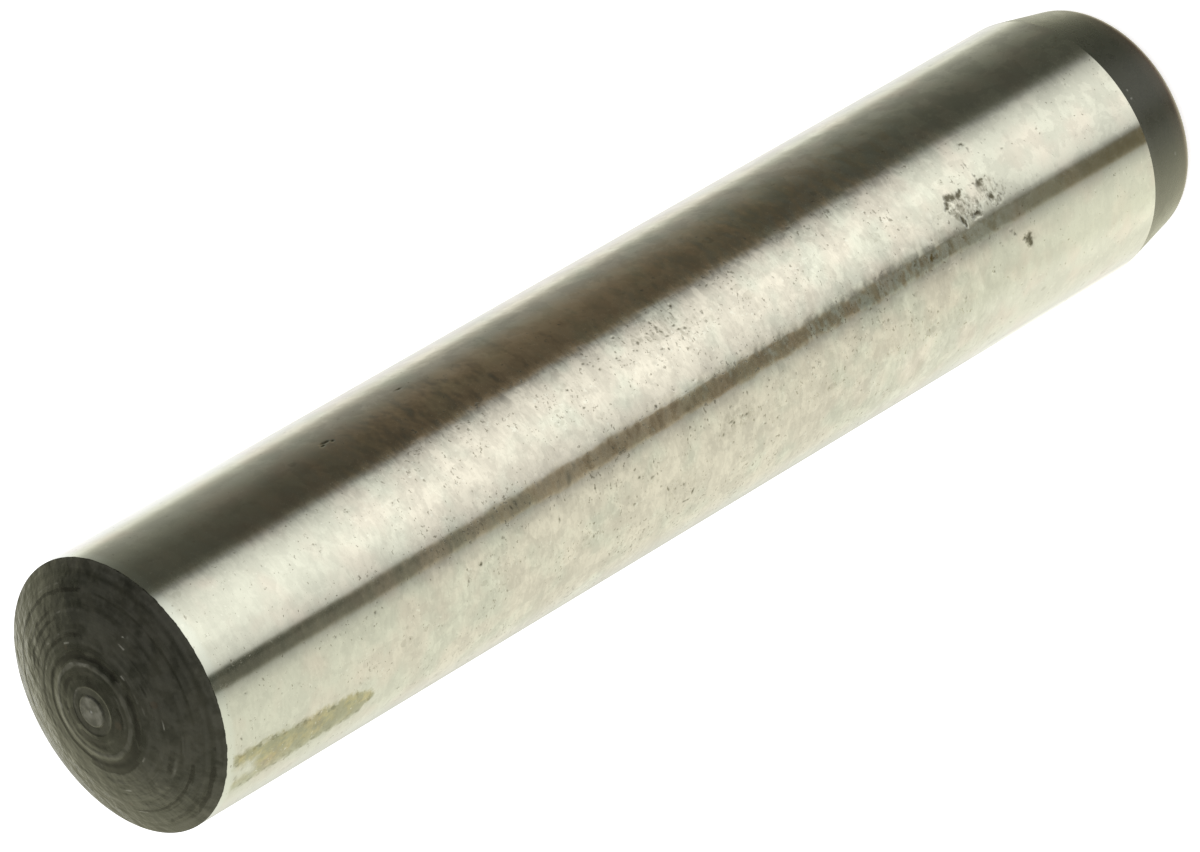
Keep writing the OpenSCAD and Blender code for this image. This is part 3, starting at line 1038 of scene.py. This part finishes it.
# Patches of the tent that are brighter or dimmer. Each has the four degrees where it eases in, is whole,
# eases out and ends, the same as sines of the angle below the horizon, and its factor. The named pairs
# leave an end open.
FROM_BACK, TO_BACK = (-300.0, -200.0), (200.0, 300.0)
FROM_TOP, TO_FLOOR = (-3.0, -2.0), (2.0, 3.0)
PATCHES = [
    # The seam's front edge: dimmer towards the floor, with a crisp bright stretch and a soft dim one
    ((15.5, 19.0, 21.5, 24.0), (0.627, 0.648, *TO_FLOOR), (0.66, 0.655, 0.64)),
    ((13.0, 18.0, 21.5, 24.0), (0.612, 0.624, 0.633, 0.641), (1.18, 1.17, 1.12)),
    ((7.0, 19.0, 21.0, 24.0), (0.630, 0.641, 0.654, 0.6585), (0.74, 0.735, 0.71)),
    # The seam is darker high up and fades at the floor, and the gap's edge is brighter low down
    ((21.5, 23.5, 25.5, 28.0), (*FROM_TOP, 0.583, 0.596), (0.60, 0.63, 0.60)),
    ((12.0, 20.0, 30.0, 38.0), (0.67, 0.70, *TO_FLOOR), (1.45, 1.5, 1.65)),
    ((-72.0, -62.0, -54.0, -48.0), (0.620, 0.636, 0.650, 0.657), (1.17, 1.18, 1.19)),
    # The lower part of the tent is brighter, bluer at one side, with a dimmer stretch over it in front
    ((80.0, 106.0, *TO_BACK), (0.632, 0.652, *TO_FLOOR), (1.13, 1.12, 1.15)),
    ((-16.0, 4.0, 96.0, 120.0), (0.653, 0.659, *TO_FLOOR), (1.15, 1.15, 1.16)),
    ((-20.0, -8.0, 75.0, 95.0), (0.636, 0.648, 0.653, 0.658), (0.87, 0.865, 0.85)),
    # Either side of the far point: brighter high up on one side and low down on the other
    ((*FROM_BACK, -156.0, -136.0), (*FROM_TOP, 0.578, 0.592), (1.18, 1.19, 1.22)),
    ((156.0, 166.0, *TO_BACK), (0.642, 0.651, *TO_FLOOR), (1.36, 1.36, 1.36)),
]
# Casts of the tent: by the floor at the sides, under the horizon and at it, far behind towards +X and
# towards -X, in front, and at the sides
FLOOR_CAST = (1.0, 1.0, 0.84)
UNDER_HORIZON, AT_HORIZON = (1.0, 0.98, 0.76), (0.90, 0.88, 0.715)
FAR_CASTS = (1.0, 0.995, 0.965), (1.0, 1.0, 0.885)
FRONT_CAST, SIDE_CAST = (1.0, 0.985, 0.875), (1.0, 0.985, 0.82)
# What it mirrors from above: sine of the elevation, then brightness
SKY = [
    (0.0, 0.88), (0.14, 0.80), (0.3, 0.82), (0.42, 0.72), (0.5, 0.47), (0.6, 0.31), (0.8, 0.18),
    (1.0, 0.06),
]
SKY_CAST = (1.0, 0.985, 0.68)
WINDOW_LEAN = 0.55


def ramp(tree, value, stops):
    """A colour ramp through (position, grey) or (position, colour) stops."""
    node = add(tree, "ValToRGB", {0: value})
    elements = node.color_ramp.elements
    elements.remove(elements[-1])
    for number, (position, shade) in enumerate(stops):
        element = elements[0] if number == 0 else elements.new(position)
        element.position = position
        element.color = opaque(shade if isinstance(shade, tuple) else (shade, shade, shade))
    return node.outputs["Color"]


def below_ramp(tree, below, stops):
    """A colour ramp over the sine of the angle below the horizon."""
    span = BELOW_HIGH - BELOW_LOW
    value = calc(tree, "DIVIDE", less(tree, below, BELOW_LOW), span)
    return ramp(tree, value, [((sine - BELOW_LOW) / span, colour) for sine, colour in stops])


def mirrored_tent(tree, x, degrees, below):
    """The soft tent round the pin, with its dark gap, its seam and its patches."""
    turn = plus(tree, 0.5, degrees, 1 / 360)
    sides = ramp(tree, turn, [((stop + 180) / 360, grey) for stop, grey in TENT])
    for span, stops in ((GAP_SPAN, GAP), (SEAM_SPAN, SEAM)):
        sides = blend(tree, within(tree, degrees, *span), sides, below_ramp(tree, below, stops), "MULTIPLY")
    for span, drop, factor in PATCHES:
        patch = times(tree, within(tree, degrees, *span), within(tree, below, *drop))
        sides = blend(tree, patch, sides, factor, "MULTIPLY")
    # Further down still, what the lead end mirrors: dim in front, bright at the sides
    off_front = apart(tree, degrees)
    round_side = grey(tree, ease(tree, off_front, 40.0, 100.0, 0.59, 1.28))
    round_side = blend(tree, ease(tree, off_front, 40.0, 90.0), round_side, FLOOR_CAST, "MULTIPLY")
    at_floor = blend(tree, ease(tree, below, 0.665, 0.70), WHITE, round_side)
    sides = blend(tree, 1.0, sides, at_floor, "MULTIPLY")
    # Near the horizon, what the far rim of the dome mirrors: dimmer and yellower
    horizon_shade = blend(tree, ease(tree, below, 0.28, 0.04), UNDER_HORIZON, AT_HORIZON)
    sides = blend(tree, ease(tree, below, 0.40, 0.10), sides, horizon_shade, "MULTIPLY")
    far_cast = blend(tree, ease(tree, x, -0.35, 0.04), *FAR_CASTS)
    aside = most(tree, ease(tree, degrees, 20.0, 50.0), ease(tree, degrees, -92.0, -108.0))
    cast = blend(tree, aside, FRONT_CAST, SIDE_CAST)
    cast = blend(tree, ease(tree, off_front, 128.0, 164.0), cast, far_cast)
    return blend(tree, 1.0, sides, cast, "MULTIPLY")


def mirrored_studio(tree):
    """The soft tent, the dark gap beside the camera and the dim ceiling that polished steel shows."""
    parts = add(tree, "SeparateXYZ", {0: add(tree, "TexCoord").outputs["Generated"]}).outputs
    x, y, below = (times(tree, parts[axis], -1.0) for axis in range(3))
    degrees = calc(tree, "DEGREES", calc(tree, "ARCTAN2", x, y))
    sides = mirrored_tent(tree, x, degrees, below)
    above = ramp(tree, parts[2], SKY)
    window = times(tree, x, WINDOW_LEAN, ease(tree, parts[2], 0.1, 0.4))
    above = blend(tree, 1.0, above, grey(tree, window), "ADD")
    above = blend(tree, 1.0, above, SKY_CAST, "MULTIPLY")
    return blend(tree, ease(tree, parts[2], -0.02, 0.12), sides, above)


def add_world():
    world = bpy.data.worlds.new("studio")
    bpy.context.scene.world = world
    world.use_nodes = True
    tree = world.node_tree
    tree.nodes.clear()
    mirrored = add(tree, "LightPath").outputs["Is Glossy Ray"]
    seen = blend(tree, mirrored, WHITE, mirrored_studio(tree))
    background = add(tree, "Background", {"Color": seen, "Strength": 1.0})
    tree.links.new(background.outputs[0], add(tree, "OutputWorld").inputs["Surface"])
    world.cycles.sampling_method = "NONE"


POSITION = position_group()
FRECKLES = freckles_group()
OVAL = oval_group()
add_camera()
pin = make_pin()
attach(pin, "root")
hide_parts("dowel_pin")
add_floor()
add_world()
bpy.context.scene.view_settings.view_transform = "Standard"
